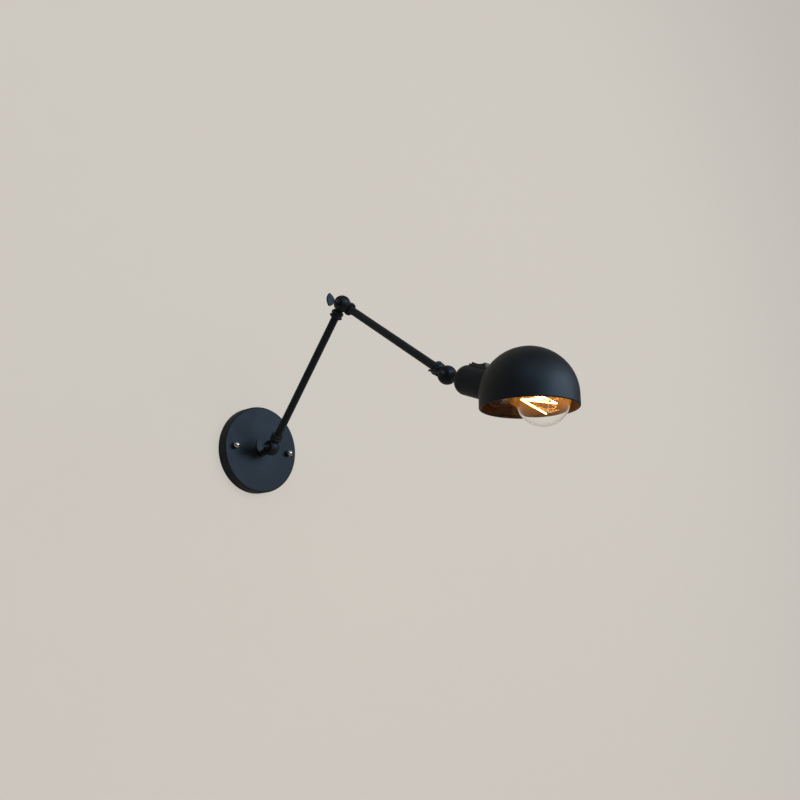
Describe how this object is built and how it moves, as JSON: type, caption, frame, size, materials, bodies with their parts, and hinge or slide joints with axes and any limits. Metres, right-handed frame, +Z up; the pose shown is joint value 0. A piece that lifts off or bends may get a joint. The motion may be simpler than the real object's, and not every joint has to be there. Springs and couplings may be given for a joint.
{
  "type": "swing arm wall lamp",
  "caption": "Black swing arm wall lamp: round wall plate, tube arms on split ball joints with thumb screws, and a domed shade over a clear bulb with a rocker switch.",
  "frame": {"origin": "on the wall plane, midway between the two slots for the wall screws, behind the plate's centre", "axes": "+Z up; +Y into the wall, so the lamp stands out towards -Y; +X to the right of a viewer who faces the wall"},
  "size_m": [0.12, 0.5186, 0.2434],
  "materials": {
    "black_paint": "satin powder coat",
    "zinc_steel": "zinc plated",
    "chrome": "polished",
    "brass": "plain",
    "terminal_plastic": "moulded",
    "lead_cover": "soft insulation",
    "fibre": "pressed fibre",
    "porcelain": "glazed",
    "holder_plastic": "moulded",
    "shell_metal": "rolled sheet",
    "switch_plastic": "moulded",
    "solder": "dull solder",
    "clear_glass": "clear",
    "support_wire": "drawn wire",
    "filament_wire": "glowing wire"
  },
  "bodies": {
    "wall_base": {"mounting_bar": "zinc_steel", "mounting_studs": "zinc_steel", "stud_lock_nuts": "zinc_steel", "earth_screw": "brass", "terminal_block": "terminal_plastic", "terminal_screws": "brass", "supply_leads": "lead_cover", "wall_plate": "black_paint", "ball_nuts": "chrome"},
    "swivel_stem": {"swivel_nipple": "zinc_steel", "spring_washer": "zinc_steel", "swivel_nut": "zinc_steel", "swivel_disc": "black_paint", "stem_knuckle": "black_paint"},
    "base_wing": {"base_thumb_screw": "black_paint"},
    "lower_arm": {"lower_arm_foot": "black_paint", "base_washer": "fibre", "lower_tube": "black_paint", "lower_arm_head": "black_paint", "lower_leads": "lead_cover"},
    "elbow_wing": {"elbow_thumb_screw": "black_paint"},
    "upper_arm": {"upper_arm_foot": "black_paint", "elbow_washer": "fibre", "upper_tube": "black_paint", "upper_arm_head": "black_paint", "upper_leads": "lead_cover"},
    "head_wing": {"head_thumb_screw": "black_paint"},
    "lamp_head": {"holder_knuckle": "black_paint", "head_washer": "fibre", "holder_cap": "black_paint", "cap_nut": "zinc_steel", "holder_core": "porcelain", "holder_sleeve": "holder_plastic", "screw_shell": "shell_metal", "centre_contact": "brass", "switch_housing": "switch_plastic", "rocker_pin": "zinc_steel", "holder_leads": "lead_cover", "shade": "black_paint", "shade_ring": "holder_plastic", "bulb_cap": "shell_metal", "bulb_insulator": "porcelain", "bulb_button": "solder", "bulb_glass": "clear_glass", "bulb_stem": "clear_glass", "filament_support": "support_wire", "bulb_filament": "filament_wire"},
    "rocker": {"switch_rocker": "switch_plastic"}
  },
  "joints": [
    {"name": "base_swivel", "type": "hinge", "parent": "wall_base", "child": "swivel_stem", "pos_m": [0, 0, 0], "axis": [0, -1, 0], "range_deg": [-165, 165]},
    {"name": "base_tilt", "type": "hinge", "parent": "swivel_stem", "child": "lower_arm", "pos_m": [0, -0.0393, 0], "axis": [-1, 0, 0], "range_deg": [-81, 38]},
    {"name": "elbow_fold", "type": "hinge", "parent": "lower_arm", "child": "upper_arm", "pos_m": [0, -0.17895, 0.17245], "axis": [1, 0, 0], "range_deg": [-117, 26]},
    {"name": "head_tilt", "type": "hinge", "parent": "upper_arm", "child": "lamp_head", "pos_m": [0, -0.35813, 0.04155], "axis": [-1, 0, 0], "range_deg": [-109, 80]},
    {"name": "base_thumb_turn", "type": "hinge", "parent": "swivel_stem", "child": "base_wing", "pos_m": [0, -0.0393, 0], "axis": [-1, 0, 0], "range_deg": [0, 180]},
    {"name": "elbow_thumb_turn", "type": "hinge", "parent": "upper_arm", "child": "elbow_wing", "pos_m": [0, -0.17895, 0.17245], "axis": [-1, 0, 0], "range_deg": [0, 180]},
    {"name": "head_thumb_turn", "type": "hinge", "parent": "upper_arm", "child": "head_wing", "pos_m": [0, -0.35813, 0.04155], "axis": [-1, 0, 0], "range_deg": [0, 180]},
    {"name": "rocker_tip", "type": "hinge", "parent": "lamp_head", "child": "rocker", "pos_m": [0, -0.40529, 0.04124], "axis": [1, 0, 0], "range_deg": [0, 16]}
  ]
}
